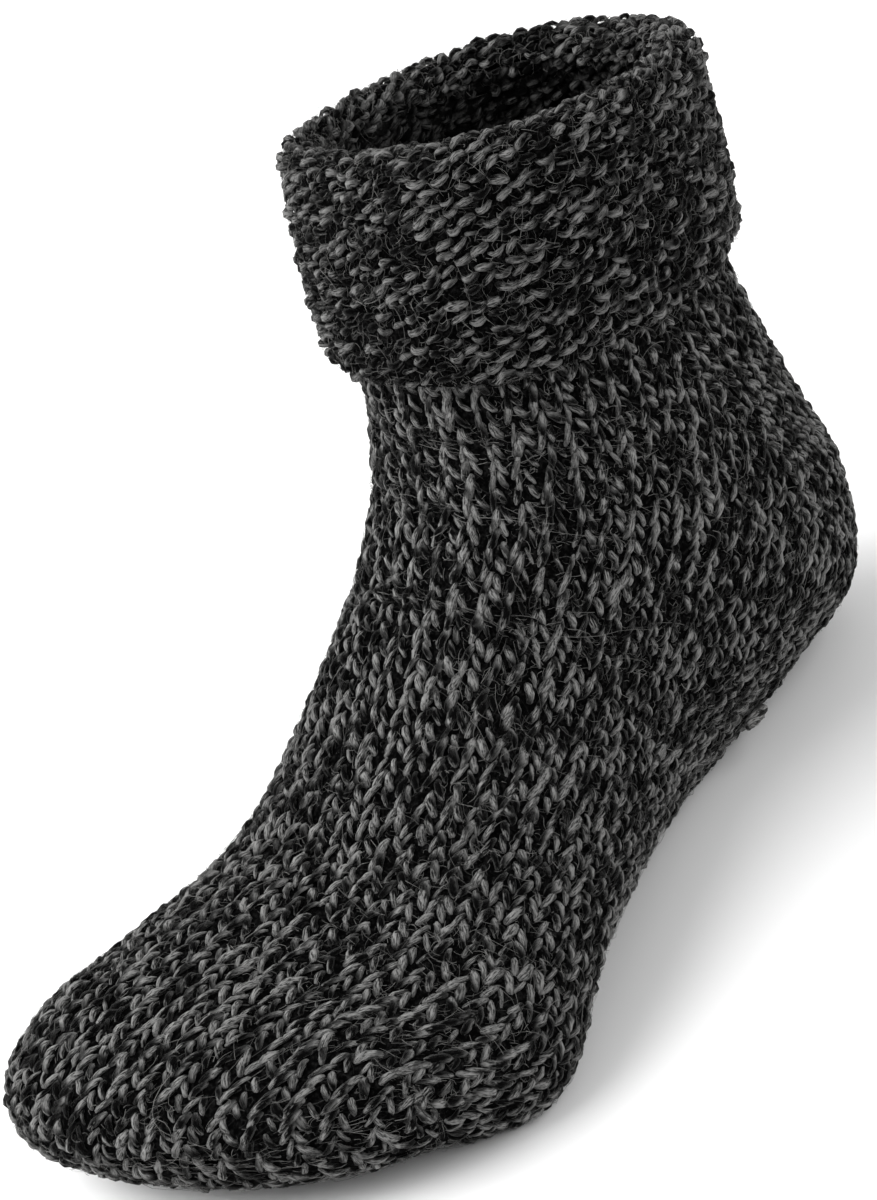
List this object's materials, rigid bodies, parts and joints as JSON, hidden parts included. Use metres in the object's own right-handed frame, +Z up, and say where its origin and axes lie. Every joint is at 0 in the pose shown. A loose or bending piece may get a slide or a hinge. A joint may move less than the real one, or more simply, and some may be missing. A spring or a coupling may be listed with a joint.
{
  "type": "slipper sock",
  "caption": "Thick knitted wool slipper sock in dark grey marl, with its top turned down as a wide cuff, standing empty on its sole.",
  "frame": {"origin": "on the floor under the middle of the heel", "axes": "-X towards the toe, -Y towards the outer side of the foot, +Z up the leg"},
  "size_m": [0.2626, 0.1162, 0.1871],
  "materials": {
    "knit_face": "matte knitted wool, marled black and grey, right side out",
    "knit_back": "matte knitted wool, marled black and grey, wrong side out",
    "yarn_end": "matte loose wool yarn, grey"
  },
  "bodies": {
    "root": {"sock_body": "knit_face", "turned_cuff": "knit_back", "yarn_knot": "yarn_end"}
  },
  "joints": []
}
